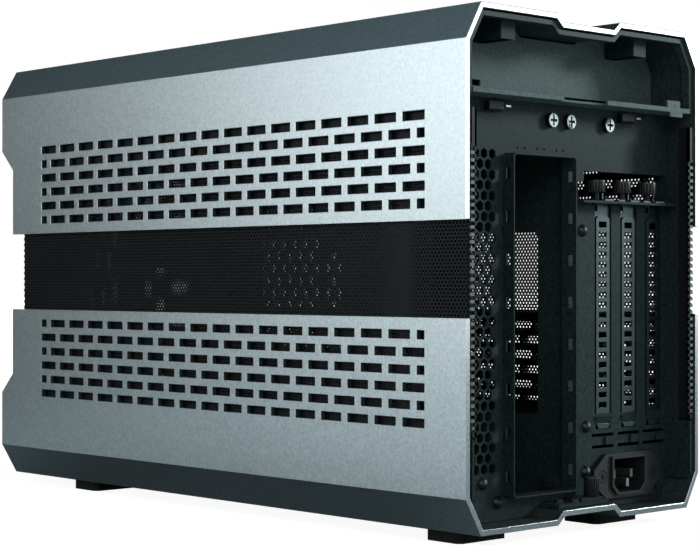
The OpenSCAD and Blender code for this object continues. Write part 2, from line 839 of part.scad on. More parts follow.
// Slot cover: flat plate, pressed-out middle with windows, tab bent out over the ledge
module card_cover(k) {
    x = card_x - k * card_pitch;
    rib_y = panel_y - 0.2;
    top_z = ledge_z + plate_t;
    window_h = 2.9;
    first_window = rib_top - 5.6;
    window_last = floor((rib_l - 7.5) / window_pitch);
    color(plain_steel)
        at_mid()
            difference() {
                union() {
                    block(x - plate_w / 2, x + plate_w / 2, plate_y0, plate_y1, slot_z0 - 3, top_z);
                    along_y(plate_y0, rib_y)
                        translate([x - 0.2, 0])
                            rib_outline(cover_rib_w, slot_z0 + seat, rib_top);
                    block(x - 4, x + 4, plate_y0, plate_y1, slot_z0 - 7, slot_z0 - 2.9);
                    along_y(plate_y0, panel_y + 0.3)
                        translate([x, slot_z0])
                            polygon([[-5.2, -4.6], [5.2, -4.6], [3.6, -7], [-3.6, -7]]);
                    block(x - card_pitch / 2 + seat, x + card_screw_x, plate_y0, ledge_y - 0.2,
                        ledge_z, top_z);
                    block(x + card_screw_x - 4.7, x + card_screw_x - 3.9, card_screw_y - 1,
                        card_screw_y + 1, top_z - 0.1, top_z + 3);
                }
                along_y(plate_y0 - 1, rib_y - plate_t)
                    translate([x - 0.2, 0])
                        rib_outline(cover_rib_w - 2 * plate_t, slot_z0 + seat + plate_t,
                            rib_top - plate_t);
                for (w = [0 : window_last])
                    block(x - 3.05, x + 3.05, plate_y0 - 1, panel_y + 1,
                        first_window - w * window_pitch, first_window - w * window_pitch + window_h);
                block(x + 2.8, x + 7.3, plate_y0 - 1, plate_y1 + 0.1, ledge_z - 4.6, ledge_z - 1);
                for (screw_x = [x + card_screw_x, x + card_screw_x - card_pitch])
                    translate([screw_x, card_screw_y, ledge_z - 1]) {
                        cylinder(r = 2.2, h = 4, $fn = 32);
                        translate([-2.2, 0, 0]) cube([4.4, ledge_d, 4]);
                    }
                block(x - 2.7, x + 1, ledge_y - 2.2, ledge_y + 1, ledge_z - 1, top_z + 1);
            }
}

module slot_cover_1() {
    card_cover(0);
}

module slot_cover_2() {
    card_cover(1);
}

module slot_cover_3() {
    card_cover(2);
}

// Knurled head standing on z = 0, with a cross recess in its top
module knob_head(r, h) {
    grooves = 18;
    cross_l = 4.4;
    cross_w = 1.2;
    difference() {
        cylinder(r = r, h = h, $fn = 64);
        for (g = [0 : grooves - 1])
            rotate(g * 360 / grooves)
                translate([r + 0.25, 0, -1]) cylinder(r = 0.5, h = h + 0.2, $fn = 16);
        for (a = [0, 90])
            rotate(a) translate([-cross_l / 2, -cross_w / 2, h - 1]) cube([cross_l, cross_w, 2]);
    }
}

// Knurled screw: head on z = 0 and shank below it
module thumb_screw(r, h, shank) {
    knob_head(r, h);
    translate([0, 0, -shank]) cylinder(r = shank_r, h = shank + 0.1, $fn = 32);
}

module slot_screw(k) {
    color(black_plastic)
        at_mid()
            translate([card_x + card_screw_x - k * card_pitch, card_screw_y, ledge_z + plate_t + 3.4])
                thumb_screw(slot_knob_r, 5.7, 6.4);
}

module slot_screw_1() {
    slot_screw(0);
}

module slot_screw_2() {
    slot_screw(1);
}

module slot_screw_3() {
    slot_screw(2);
}

module rear_screw(k) {
    color(plain_steel)
        at_mid()
            translate([rear_screw_x[k], panel_y + seat, rear_screw_z])
                rotate([-90, 0, 0]) thumb_screw(rear_knob_r, 2.2, 5);
}

module rear_screw_1() {
    rear_screw(0);
}

module rear_screw_2() {
    rear_screw(1);
}

module rear_screw_3() {
    rear_screw(2);
}

// Latch plate on the floor of the back, with the block that the knob stands on
latch_x = inlet_x + 33.6;
latch_y = panel_y + 6.2;
latch_z0 = floor_z0;
latch_block_z = floor_z0 + 3.3;
latch_plate_t = 2;
latch_screw_places = [[latch_x + 22.5, panel_y + 4.2], [latch_x + 15.5, panel_y + 8]];

module latch_plate() {
    color(dark_steel)
        at_mid()
            difference() {
                union() {
                    block(inlet_x + inlet_flange_l, latch_x + 30, panel_y, panel_y + 11,
                        latch_z0, latch_z0 + latch_plate_t);
                    block(latch_x - 4, latch_x + 12, panel_y, panel_y + 10, latch_z0, latch_block_z);
                }
                translate([latch_x, latch_y, latch_z0 - 5])
                    cylinder(r = shank_r + shank_gap, h = 20, $fn = 32);
                for (p = latch_screw_places)
                    translate([p[0], p[1], latch_z0 - 5]) cylinder(r = 1.5, h = 20, $fn = 32);
            }
}

module latch_knob() {
    color(black_plastic)
        at_mid()
            translate([latch_x, latch_y, latch_block_z + seat])
                thumb_screw(latch_knob_r, 9, 3);
}

module latch_screws() {
    color(plain_steel)
        at_mid()
            for (p = latch_screw_places)
                translate([p[0], p[1], latch_z0 + latch_plate_t])
                    union() {
                        translate([0, 0, -1.6]) cylinder(r = 1.2, h = 1.7, $fn = 32);
                        difference() {
                            cylinder(r = 2.2, h = 1.4, $fn = 48);
                            for (a = [0, 90])
                                rotate(a) translate([-1.1, -0.25, 0.8]) cube([2.2, 0.5, 2]);
                        }
                    }
}

// Socket with two cut corners, as seen on its face
module socket_outline(w, h, cut) {
    polygon([[-w / 2, h / 2], [w / 2, h / 2], [w / 2, -h / 2 + cut], [w / 2 - cut, -h / 2],
        [-w / 2 + cut, -h / 2], [-w / 2, -h / 2 + cut]]);
}

// Moulded inlet: eight-sided flange outside, body through the panel, open socket
module inlet_body() {
    y1 = panel_y + inlet_flange_t;
    depth = 22;
    color(black_plastic)
        at_mid()
            difference() {
                union() {
                    along_y(panel_y, y1)
                        translate([inlet_x, inlet_z])
                            polygon([[-17.2, 11], [17.2, 11], [inlet_flange_l, 3.4],
                                [inlet_flange_l, -3.4], [17.2, -11], [-17.2, -11],
                                [-inlet_flange_l, -3.4], [-inlet_flange_l, 3.4]]);
                    along_y(panel_y - depth, panel_y + 0.1)
                        translate([inlet_x, inlet_z]) square([27.4, 19.4], center = true);
                    along_y(y1 - 0.1, y1 + 1.2)
                        translate([inlet_x, inlet_z])
                            difference() {
                                socket_outline(27.4, 19.4, 4.4);
                                socket_outline(24.4, 16.6, 4);
                            }
                }
                along_y(panel_y - 15, y1 + 2)
                    translate([inlet_x, inlet_z]) socket_outline(24.4, 16.6, 4);
                for (s = [-1, 1]) {
                    bore_y(inlet_x + s * inlet_pitch / 2, inlet_z, 1.8, panel_y - 1, y1 + 1);
                    bore_y(inlet_x + s * inlet_pitch / 2, inlet_z, 3.2, y1 - 1.4, y1 + 1);
                }
                for (p = contact_places)
                    block(inlet_x + p[0] - 1, inlet_x + p[0] + 1, panel_y - depth - 1,
                        panel_y, inlet_z + p[1] - 2, inlet_z + p[1] + 2);
            }
}

// Contacts as (x, z, how far the tip stands behind the rear panel's face)
contact_places = [[-7, 0, 0.8], [7, 0, 0.8], [0, -4, -2.2]];

module inlet_contacts() {
    color(plain_steel)
        at_mid()
            for (p = contact_places)
                block(inlet_x + p[0] - 1, inlet_x + p[0] + 1, panel_y - 28, panel_y - p[2],
                    inlet_z + p[1] - 2, inlet_z + p[1] + 2);
}

module inlet_screws() {
    head_y = panel_y + inlet_flange_t - 1.4;
    color(dark_steel)
        at_mid()
            for (s = [-1, 1])
                translate([inlet_x + s * inlet_pitch / 2, head_y, inlet_z])
                    rotate([-90, 0, 0]) {
                        translate([0, 0, -6]) cylinder(r = 1.4, h = 6.1, $fn = 32);
                        difference() {
                            cylinder(r = 2.9, h = 1.3, $fn = 48);
                            for (a = [0, 90])
                                rotate(a) translate([-1.6, -0.35, 0.6]) cube([3.2, 0.7, 2]);
                        }
                    }
}

// Catches on the rear panel under the tray, and the bright pin beside each
catch_places = [side_in - 28.4, -side_in + 34.9];

module tray_catches() {
    color(black_plastic)
        at_mid()
            for (x = catch_places)
                along_x(x - 5, x + 5)
                    polygon([[panel_y, shelf_z - 6], [panel_y + 2.4, shelf_z - 6],
                        [panel_y + 3.4, shelf_z - 5], [panel_y + 3.4, shelf_z - 1.6],
                        [panel_y, shelf_z - 1.6]]);
}

module catch_pins() {
    color(plain_steel)
        at_mid()
            for (x = catch_places)
                block(x - 11, x - 7.6, panel_y, panel_y + 2.4, shelf_z - 3.6, shelf_z - 2.8);
}

module dome_rivets() {
    head_r = 3.1;
    head_h = 2.2;
    ball_r = (head_r * head_r + head_h * head_h) / (2 * head_h);
    color(black_plastic)
        at_mid()
            for (p = rivet_places)
                translate([p[0], panel_y, p[1]])
                    rotate([-90, 0, 0]) {
                        translate([0, 0, -2.4]) cylinder(r = 1.5, h = 2.5, $fn = 32);
                        intersection() {
                            translate([0, 0, head_h - ball_r]) sphere(r = ball_r, $fn = 48);
                            cylinder(r = head_r + 1, h = head_h + 1, $fn = 48);
                        }
                    }
}

// Foot seen from above, with cut corners
module foot_outline(w, l, cut) {
    polygon([[-w / 2 + cut, -l / 2], [w / 2 - cut, -l / 2], [w / 2, -l / 2 + cut],
        [w / 2, l / 2 - cut], [w / 2 - cut, l / 2], [-w / 2 + cut, l / 2],
        [-w / 2, l / 2 - cut], [-w / 2, -l / 2 + cut]]);
}

// Four feet under the flats of the lower cover, the right pair set further in
module feet() {
    color(black_plastic)
        for (x = [half_w - 31.8, -half_w + 42.7], y = [-half_l + 62.6, half_l - 28.9])
            translate([x, y, 0])
                linear_extrude(feet_h) foot_outline(33, 22.2, 2.2);
}

upper_cover();
upper_liner();
lower_cover();
feet();
left_mesh();
right_mesh();
front_fascia();
front_mesh();
power_button();
front_board();
front_ports();
base_tray();
left_frame();
right_frame();
front_plate();
rear_panel();
opening_frame();
rear_tray();
fan_tray();
left_rail();
right_rail();
motherboard_tray();
standoffs();
supply_bracket();
slot_cover_1();
slot_cover_2();
slot_cover_3();
slot_screw_1();
slot_screw_2();
slot_screw_3();
rear_screw_1();
rear_screw_2();
rear_screw_3();
latch_plate();
latch_knob();
latch_screws();
inlet_body();
inlet_contacts();
inlet_screws();
tray_catches();
catch_pins();
dome_rivets();
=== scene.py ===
# %% [markdown]
# # A small computer case
# Two folded aluminium covers close round a black steel chassis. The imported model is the
# frame: every piece made here stands where the solids stand and rides on one of their bodies.

# %% Load the frame
import json
import math

import bmesh
import bpy
from mathutils import Matrix, Vector


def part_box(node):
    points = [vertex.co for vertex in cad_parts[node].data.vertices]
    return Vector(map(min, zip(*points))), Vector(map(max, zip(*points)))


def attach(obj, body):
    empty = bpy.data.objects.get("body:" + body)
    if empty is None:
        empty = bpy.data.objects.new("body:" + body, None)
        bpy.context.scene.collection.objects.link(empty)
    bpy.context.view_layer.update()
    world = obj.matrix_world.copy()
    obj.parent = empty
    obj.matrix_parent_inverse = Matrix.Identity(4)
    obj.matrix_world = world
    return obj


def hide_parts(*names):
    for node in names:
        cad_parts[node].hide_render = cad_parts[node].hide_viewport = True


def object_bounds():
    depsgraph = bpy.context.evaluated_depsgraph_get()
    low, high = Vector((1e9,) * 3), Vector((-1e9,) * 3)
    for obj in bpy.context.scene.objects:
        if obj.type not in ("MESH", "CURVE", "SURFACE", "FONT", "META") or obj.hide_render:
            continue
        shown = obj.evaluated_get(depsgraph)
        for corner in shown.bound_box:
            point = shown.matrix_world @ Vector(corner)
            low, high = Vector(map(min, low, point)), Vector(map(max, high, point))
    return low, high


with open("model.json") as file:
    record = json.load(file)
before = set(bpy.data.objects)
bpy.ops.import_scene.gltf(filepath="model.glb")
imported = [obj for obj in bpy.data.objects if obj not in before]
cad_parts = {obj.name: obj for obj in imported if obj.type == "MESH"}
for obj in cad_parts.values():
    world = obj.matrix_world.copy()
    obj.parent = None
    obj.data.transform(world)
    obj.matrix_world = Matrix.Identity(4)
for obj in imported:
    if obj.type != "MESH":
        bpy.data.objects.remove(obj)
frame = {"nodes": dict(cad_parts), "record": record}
nodes = frame["nodes"]
cad_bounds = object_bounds()
print("case box", [[round(v, 4) for v in corner] for corner in cad_bounds])

MM = 0.001
half_width, half_depth = cad_bounds[1][:2]
scene = bpy.context.scene
scene.view_settings.view_transform = "Standard"

# %% [markdown]
# ## Camera
# The photograph looks at the back corner from mid height, level, with a long lens. Position,
# turn and focal length come from a fit through the corners of the covers. The picture is
# framed a little off the lens axis, so the lens is shifted, as on an architect's camera. The
# other way, turning the camera, would tilt the upright edges, which are parallel here.

# %% Camera at the photograph's viewing angle
camera_data = bpy.data.cameras.new("camera")
camera_data.sensor_width = 36.0
camera_data.lens = 92.9
camera_data.shift_x = 0.0829
camera_data.shift_y = 0.0116
camera_data.clip_start = 0.01
camera_data.clip_end = 50.0
camera = bpy.data.objects.new("camera", camera_data)
scene.collection.objects.link(camera)
camera.location = (0.68033, 0.72717, 0.12026)
yaw = math.radians(-132.131)
camera.rotation_euler = (math.pi / 2, 0.0, yaw - math.pi / 2)
scene.camera = camera
corner = Vector((half_width, half_depth, camera.location.z))
print("camera stands", round((camera.location - corner).length, 3), "m from the corner")

# %% [markdown]
# ## Floor, background and lamps
# Bare aluminium shows what it reflects, so the studio has three tones for reflections: a
# bright wall all round, a darker floor, and dark flags overhead and past the front of the
# case. The flags turn the long flat side from white at the back to grey at the front, and
# make the slanted edges dark, as on the photograph. A more powerful lamp would only have
# made the whole side white.
#
# The bright wall is the world itself. Light Path gives it one strength for reflections, a
# weak one for the light that falls on the object, and plain white for the camera. A dome or
# a box of lit panels would do the same, with more pieces to keep out of the picture.

# %% World
world = bpy.data.worlds.new("studio")
scene.world = world
world.use_nodes = True
tree = world.node_tree
tree.nodes.clear()


def background(colour, strength):
    """Light of one colour from all round."""
    node = tree.nodes.new("ShaderNodeBackground")
    node.inputs["Color"].default_value = (*colour, 1)
    node.inputs["Strength"].default_value = strength
    return node.outputs[0]


def mixed(share, first, second):
    """The first shader where share is 0, the second where it is 1."""
    node = tree.nodes.new("ShaderNodeMixShader")
    tree.links.new(share, node.inputs["Fac"])
    tree.links.new(first, node.inputs[1])
    tree.links.new(second, node.inputs[2])
    return node.outputs[0]


lit_strength, reflected_strength = 0.15, 1.8
seen = tree.nodes.new("ShaderNodeLightPath")
lit = background((0.90, 0.98, 1.0), lit_strength)
reflected = background((0.93, 0.98, 1.0), reflected_strength)
white = background((1, 1, 1), 1.0)
plain = mixed(seen.outputs["Is Glossy Ray"], lit, reflected)
plain = mixed(seen.outputs["Is Transmission Ray"], plain, white)
plain = mixed(seen.outputs["Is Camera Ray"], plain, white)
out = tree.nodes.new("ShaderNodeOutputWorld")
tree.links.new(plain, out.inputs["Surface"])
print("world: lit", lit_strength, "reflected", reflected_strength)

# %% [markdown]
# The floor is a pale plane that keeps the soft shadow of the case. It takes the paint for
# light that falls on it, a glow that fades into the white round it for the camera, and a
# third tone for reflections, because the lower half of the case mirrors the floor. Three
# floors would do it too, each hidden from all but one kind of ray.

# %% Helpers for the floor and the flags


def stage_board(name, corners, material):
    """A flat board of the studio: four corners, one material, not part of the object."""
    mesh = bpy.data.meshes.new(name)
    mesh.from_pydata(corners, [], [(0, 1, 2, 3)])
    mesh.materials.append(material)
    board = bpy.data.objects.new(name, mesh)
    scene.collection.objects.link(board)
    return board


def glow(colour, strength):
    """Light of its own; the strength is a number or a socket."""
    node = tree.nodes.new("ShaderNodeEmission")
    node.inputs["Color"].default_value = (*colour, 1)
    if isinstance(strength, float):
        node.inputs["Strength"].default_value = strength
    else:
        tree.links.new(strength, node.inputs["Strength"])
    return node.outputs[0]


def ramp(value, start, end, low, high):
    """A value that goes from low to high between two readings of another one."""
    node = tree.nodes.new("ShaderNodeMapRange")
    for name, number in (("From Min", start), ("From Max", end), ("To Min", low), ("To Max", high)):
        node.inputs[name].default_value = number
    tree.links.new(value, node.inputs["Value"])
    return node


def by_distance(near, far, low, high):
    """A soft ramp between two distances from the middle of the floor."""
    node = ramp(reach.outputs["Value"], near, far, low, high)
    node.interpolation_type = "SMOOTHSTEP"
    return node.outputs["Result"]


def ramp_along(axis, start, end, low, high):
    """A ramp between two places along an axis."""
    return ramp(where.outputs[axis], start, end, low, high).outputs["Result"]


def sum_product(a, b, c=0.0):
    """a * b + c"""
    node = tree.nodes.new("ShaderNodeMath")
    node.operation = "MULTIPLY_ADD"
    for index, term in enumerate((a, b, c)):
        if isinstance(term, float):
            node.inputs[index].default_value = term
        else:
            tree.links.new(term, node.inputs[index])
    return node.outputs[0]


# %% Floor: white to the camera with the shadow kept, dark to reflections
floor_material = bpy.data.materials.new("pale_floor")
floor_material.use_nodes = True
tree = floor_material.node_tree
paint = tree.nodes["Principled BSDF"]
paint.inputs["Base Color"].default_value = (0.86, 0.87, 0.88, 1)
paint.inputs["Roughness"].default_value = 0.9
place = tree.nodes.new("ShaderNodeTexCoord")
reach = tree.nodes.new("ShaderNodeVectorMath")
reach.operation = "LENGTH"
tree.links.new(place.outputs["Object"], reach.inputs[0])
where = tree.nodes.new("ShaderNodeSeparateXYZ")
tree.links.new(place.outputs["Object"], where.inputs[0])
seen = tree.nodes.new("ShaderNodeLightPath")
white_floor = mixed(by_distance(0.35, 1.6, 0.66, 1.0), paint.outputs[0], glow((1, 1, 1), 1.40))

# Painted shade in the floor's glow for reflections: dark under the case and in front of it,
# brighter beside it, one grey tone behind it
tone = sum_product(by_distance(0.13, 0.6, 0.02, 0.38), ramp_along("Y", -0.65, 0.05, 0.05, 1.3))
behind = (half_depth + 4 * MM, half_depth + 64 * MM)
tone = sum_product(tone, ramp_along("Y", *behind, 1.0, 0.0))
tone = sum_product(ramp_along("Y", *behind, 0.0, 1.0), 0.17, tone)
shaded_floor_glow = glow((0.72, 1.0, 1.1), tone)
plain = mixed(seen.outputs["Is Glossy Ray"], paint.outputs[0], shaded_floor_glow)
plain = mixed(seen.outputs["Is Camera Ray"], plain, white_floor)
tree.links.new(plain, tree.nodes["Material Output"].inputs["Surface"])
half = 12.0
stage_board("floor", [(-half, -half, 0), (half, -half, 0), (half, half, 0), (-half, half, 0)],
            floor_material)
print("floor reaches", half, "m each way")

# %% [markdown]
# A flag is a dark board that a photographer puts where a shiny surface would mirror
# something bright. One lies overhead, one stands past the front of the case. They are off
# for the camera, for shadows and for the light that falls on the object, so they only change
# reflections. A dark patch painted on the world would do the same, but it would sit at an
# endless distance and slide along the case in another way.

# %% Flags: dark boards that only reflections see
flag_material = bpy.data.materials.new("dark_flag")
flag_material.use_nodes = True
tree = flag_material.node_tree
place = tree.nodes.new("ShaderNodeTexCoord")
where = tree.nodes.new("ShaderNodeSeparateXYZ")
tree.links.new(place.outputs["Object"], where.inputs[0])

# Nearly black low down, and lighter high up towards the camera's side of the board, which
# is the part that the slanted edge of the upper cover shows
lift = sum_product(ramp_along("Z", 0.9, 2.0, 0.0, 1.0),
                   ramp_along("X", 0.85, 1.8, 0.0, 0.25), 0.015)
tree.links.new(glow((0.68, 1.0, 1.1), lift), tree.nodes["Material Output"].inputs["Surface"])


def dark_flag(name, corners):
    """A board that is there for reflections only."""
    board = stage_board(name, corners, flag_material)
    board.visible_camera = False
    board.visible_diffuse = False
    board.visible_transmission = False
    board.visible_shadow = False
    return board


def around(degrees, distance, height):
    """A place in the studio by its direction from the case, its distance and its height."""
    turn = math.radians(degrees)
    return (distance * math.cos(turn), distance * math.sin(turn), height)


over = 3.0
dark_flag("flag_overhead", [(-9, -5.2, over), (9, -5.2, over), (9, 9, over), (-9, 9, over)])
near_edge, far_edge = -46.6, -115
dark_flag("flag_front", [around(near_edge, 3, 0), around(far_edge, 3, 0),
                         around(far_edge, 3, over), around(near_edge, 3, over)])

# %% [markdown]
# The key lamp shines in from beyond the far rear edge, so the right wall of the case keeps
# the last slot and the right end of the upper compartment in shadow, as on the photograph.
# Two broad, soft lamps light the back from the left and the long side. The one on the side
# is hidden from reflections, where it would show as a white patch in the aluminium.

# %% Lamps


def soft_lamp(name, at, towards, size, watts, tint=(1, 1, 1)):
    """A rectangular area lamp turned towards a place on the case."""
    data = bpy.data.lights.new(name, "AREA")
    data.shape = "RECTANGLE"
    data.size, data.size_y = size
    data.energy = watts
    data.color = tint
    lamp = bpy.data.objects.new(name, data)
    scene.collection.objects.link(lamp)
    lamp.location = at
    lamp.rotation_euler = (Vector(towards) - Vector(at)).to_track_quat("-Z", "Y").to_euler()
    return lamp


key_place = around(148, 1.6, 0.62)
soft_lamp("lamp_key", key_place, (0.0, 0.17, 0.12), (0.24, 0.3), 12, (0.82, 1.0, 1.0))
soft_lamp("lamp_back_left", (1.6, 2.0, 1.3), (0.0, 0.15, 0.12), (1.2, 1.0), 13)
side_lamp = soft_lamp("lamp_side", (2.4, -1.6, 0.9), (0.08, 0.0, 0.12), (1.4, 1.2), 16)
side_lamp.visible_glossy = False

# %% [markdown]
# ## Shared effects
# Every real surface here is a little uneven: blasted aluminium is sandy, powder coat is
# pebbled, rolled steel has fine lines. One group makes a fine grain and broad tone changes
# from noise on object coordinates. It gives a colour and a height, so each material can use
# it with its own numbers and keep its own shader.

# %% Node group: grain and mottling


def value_socket(group, name, start, low, high):
    """A named number at the group's entry, with its range."""
    socket = group.interface.new_socket(name=name, in_out="INPUT", socket_type="NodeSocketFloat")
    socket.default_value = start
    socket.min_value = low
    socket.max_value = high
    return socket


def grain_group():
    """Colour with grain and broad mottling, and the grain's height."""
    group = bpy.data.node_groups.new("surface_grain", "ShaderNodeTree")
    colour = group.interface.new_socket(name="Colour", in_out="INPUT",
                                        socket_type="NodeSocketColor")
    colour.default_value = (0.5, 0.5, 0.5, 1)
    value_socket(group, "Grain per metre", 2000.0, 1.0, 20000.0)
    value_socket(group, "Grain contrast", 0.1, 0.0, 1.0)
    value_socket(group, "Mottle per metre", 20.0, 0.1, 1000.0)
    value_socket(group, "Mottle contrast", 0.05, 0.0, 1.0)
    group.interface.new_socket(name="Colour", in_out="OUTPUT", socket_type="NodeSocketColor")
    group.interface.new_socket(name="Height", in_out="OUTPUT", socket_type="NodeSocketFloat")
    n, link = group.nodes, group.links
    inside = n.new("NodeGroupInput")
    result = n.new("NodeGroupOutput")
    place = n.new("ShaderNodeTexCoord")
    grain = n.new("ShaderNodeTexNoise")
    grain.inputs["Detail"].default_value = 2.0
    grain.inputs["Roughness"].default_value = 0.6
    mottle = n.new("ShaderNodeTexNoise")
    mottle.inputs["Detail"].default_value = 3.0
    link.new(place.outputs["Object"], grain.inputs["Vector"])
    link.new(place.outputs["Object"], mottle.inputs["Vector"])
    link.new(inside.outputs["Grain per metre"], grain.inputs["Scale"])
    link.new(inside.outputs["Mottle per metre"], mottle.inputs["Scale"])

    def swing(noise, contrast):
        """1 + (noise - 0.5) * 2 * contrast"""
        centred = n.new("ShaderNodeMath")
        centred.operation = "MULTIPLY_ADD"
        centred.inputs[1].default_value = 2.0
        centred.inputs[2].default_value = -1.0
        scaled = n.new("ShaderNodeMath")
        scaled.operation = "MULTIPLY_ADD"
        scaled.inputs[2].default_value = 1.0
        link.new(noise, centred.inputs[0])
        link.new(centred.outputs[0], scaled.inputs[0])
        link.new(contrast, scaled.inputs[1])
        return scaled.outputs[0]

    both = n.new("ShaderNodeMath")
    both.operation = "MULTIPLY"
    link.new(swing(grain.outputs["Fac"], inside.outputs["Grain contrast"]), both.inputs[0])
    link.new(swing(mottle.outputs["Fac"], inside.outputs["Mottle contrast"]), both.inputs[1])
    tinted = n.new("ShaderNodeVectorMath")
    tinted.operation = "SCALE"
    link.new(inside.outputs["Colour"], tinted.inputs[0])
    link.new(both.outputs[0], tinted.inputs["Scale"])
    link.new(tinted.outputs[0], result.inputs["Colour"])
    link.new(grain.outputs["Fac"], result.inputs["Height"])
    return group


surface_grain = grain_group()
print("groups:", [g.name for g in bpy.data.node_groups])

# %% [markdown]
# ## Materials
# Each finish is one small recipe: its base colour goes through the grain group, the grain's
# height drives a Bump node, and numbers that are the same all over the surface stand on the
# shader's own sockets.

# %% Recipe for a grained finish


def grained_material(name, colour, roughness, metallic=0.0, grain=2000.0, grain_contrast=0.1,
                     mottle=20.0, mottle_contrast=0.05, bump=0.1, bump_mm=0.02, specular=0.5,
                     roughness_swing=0.1):
    """A Principled BSDF fed by the grain group; grain and mottle are counts per metre."""
    material = bpy.data.materials.new(name)
    material.use_nodes = True
    n, link = material.node_tree.nodes, material.node_tree.links
    shader = n["Principled BSDF"]
    shader.inputs["Metallic"].default_value = metallic
    shader.inputs["Specular IOR Level"].default_value = specular
    texture = n.new("ShaderNodeGroup")
    texture.node_tree = surface_grain
    texture.inputs["Colour"].default_value = (*colour, 1)
    texture.inputs["Grain per metre"].default_value = grain
    texture.inputs["Grain contrast"].default_value = grain_contrast
    texture.inputs["Mottle per metre"].default_value = mottle
    texture.inputs["Mottle contrast"].default_value = mottle_contrast
    link.new(texture.outputs["Colour"], shader.inputs["Base Color"])
    uneven = n.new("ShaderNodeMapRange")
    uneven.inputs["To Min"].default_value = roughness - roughness_swing / 2
    uneven.inputs["To Max"].default_value = roughness + roughness_swing / 2
    link.new(texture.outputs["Height"], uneven.inputs["Value"])
    link.new(uneven.outputs["Result"], shader.inputs["Roughness"])
    relief = n.new("ShaderNodeBump")
    relief.inputs["Strength"].default_value = bump
    relief.inputs["Distance"].default_value = bump_mm * MM
    link.new(texture.outputs["Height"], relief.inputs["Height"])
    link.new(relief.outputs["Normal"], shader.inputs["Normal"])
    return material


# %% [markdown]
# The covers are blasted aluminium with bare cut edges. Screws, slot covers and contacts are
# plated or blackened metal, each with its own tone and wear. Bare metal has Metallic at 1, so
# its colour tints what it reflects, and the grain keeps the reflection from being flat. A
# grey paint with a sharp highlight would look right from one side only.

# %% Metals
blasted_aluminium = grained_material(
    "blasted_aluminium", (0.80, 0.890, 0.910), 0.32, metallic=1.0, grain=800.0,
    grain_contrast=0.32, mottle=9.0, mottle_contrast=0.04, bump=0.35, bump_mm=0.03)
cut_aluminium = grained_material(
    "cut_aluminium", (0.93, 0.94, 0.95), 0.2, metallic=1.0, grain=1600.0,
    grain_contrast=0.08, mottle=30.0, mottle_contrast=0.06, bump=0.05)
plated_steel = grained_material(
    "plated_steel", (0.52, 0.56, 0.57), 0.28, metallic=1.0, grain=1200.0,
    grain_contrast=0.12, mottle=45.0, mottle_contrast=0.12, bump=0.1)
dull_steel = grained_material(
    "dull_steel", (0.07, 0.09, 0.094), 0.36, metallic=1.0, grain=1200.0,
    grain_contrast=0.2, mottle=60.0, mottle_contrast=0.2, bump=0.15)
black_oxide = grained_material(
    "black_oxide", (0.010, 0.012, 0.012), 0.42, metallic=0.2, grain=1800.0,
    grain_contrast=0.2, mottle=80.0, mottle_contrast=0.15, bump=0.15)
worn_face = grained_material(
    "worn_face", (0.30, 0.335, 0.34), 0.34, metallic=1.0, grain=1500.0,
    grain_contrast=0.25, mottle=200.0, mottle_contrast=0.2, bump=0.1)
contact_metal = grained_material(
    "contact_metal", (0.42, 0.44, 0.44), 0.32, metallic=1.0, grain=1500.0,
    grain_contrast=0.08, mottle=60.0, mottle_contrast=0.1, bump=0.08)
print("metals ready")

# %% [markdown]
# The steel chassis, the liner and the mesh carry a black powder coat. It is a plastic skin
# a tenth of a millimetre thick with a fine pebbled surface, so its grain is coarse and its
# Specular low. The liner and the tray above the panel are a shade lighter on the photograph;
# their lighter copies of the coat are painted light, for the light that falls on them. The
# bars along the rear fold of a side mesh are grey, a painted highlight where they catch the
# light. One coat in three tones could be driven by a mask, but separate materials are easier
# to tune one by one.

# %% Coats
powder_coat = grained_material(
    "powder_coat", (0.021, 0.034, 0.035), 0.52, grain=620.0, grain_contrast=1.0,
    mottle=14.0, mottle_contrast=0.10, bump=0.4, bump_mm=0.05, specular=0.11)
# Lighter copies of the powder coat: painted light where light falls on the liner, the insides of
# the covers and the tray
liner_coat_painted_light = grained_material(
    "liner_coat_painted_light", (0.036, 0.052, 0.052), 0.5, grain=620.0, grain_contrast=0.95,
    mottle=12.0, mottle_contrast=0.1, bump=0.4, bump_mm=0.05, specular=0.16)
tray_coat_painted_light = grained_material(
    "tray_coat_painted_light", (0.095, 0.133, 0.136), 0.52, grain=620.0, grain_contrast=0.8,
    mottle=14.0, mottle_contrast=0.10, bump=0.4, bump_mm=0.05, specular=0.16)
mesh_coat = grained_material(
    "mesh_coat", (0.012, 0.015, 0.017), 0.45, grain=2500.0, grain_contrast=0.15,
    mottle=25.0, mottle_contrast=0.12, bump=0.1, specular=0.2)
# A grey coat for the bars of the mesh's rear fold: a painted highlight where they catch the light
bar_coat_painted_highlight = grained_material(
    "bar_coat_painted_highlight", (0.15, 0.18, 0.18), 0.45, grain=1500.0, grain_contrast=0.3,
    mottle=60.0, mottle_contrast=0.3, bump=0.1)
print("coats ready")

# %% [markdown]
# Fascia and mains inlet are moulded plastic, smoother than the coat. The feet are dull
# rubber, and the front connectors sit on a green circuit board.

# %% Plastics
moulded_black = grained_material(
    "moulded_black", (0.012, 0.014, 0.015), 0.48, grain=2200.0, grain_contrast=0.2,
    mottle=40.0, mottle_contrast=0.08, bump=0.25, specular=0.4)
foot_rubber = grained_material(
    "foot_rubber", (0.010, 0.010, 0.010), 0.75, grain=900.0, grain_contrast=0.25,
    mottle=60.0, mottle_contrast=0.1, bump=0.4, specular=0.25)
circuit_green = grained_material(
    "circuit_green", (0.012, 0.06, 0.03), 0.35, grain=700.0, grain_contrast=0.2,
    mottle=120.0, mottle_contrast=0.25, bump=0.1)
print("plastics ready")

# %% [markdown]
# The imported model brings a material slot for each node. A table from slot to finish covers
# most of them, and a second one names the nodes whose finish differs from their slot's.
# Painting node by node would work as well, but a new node would then come without a finish.

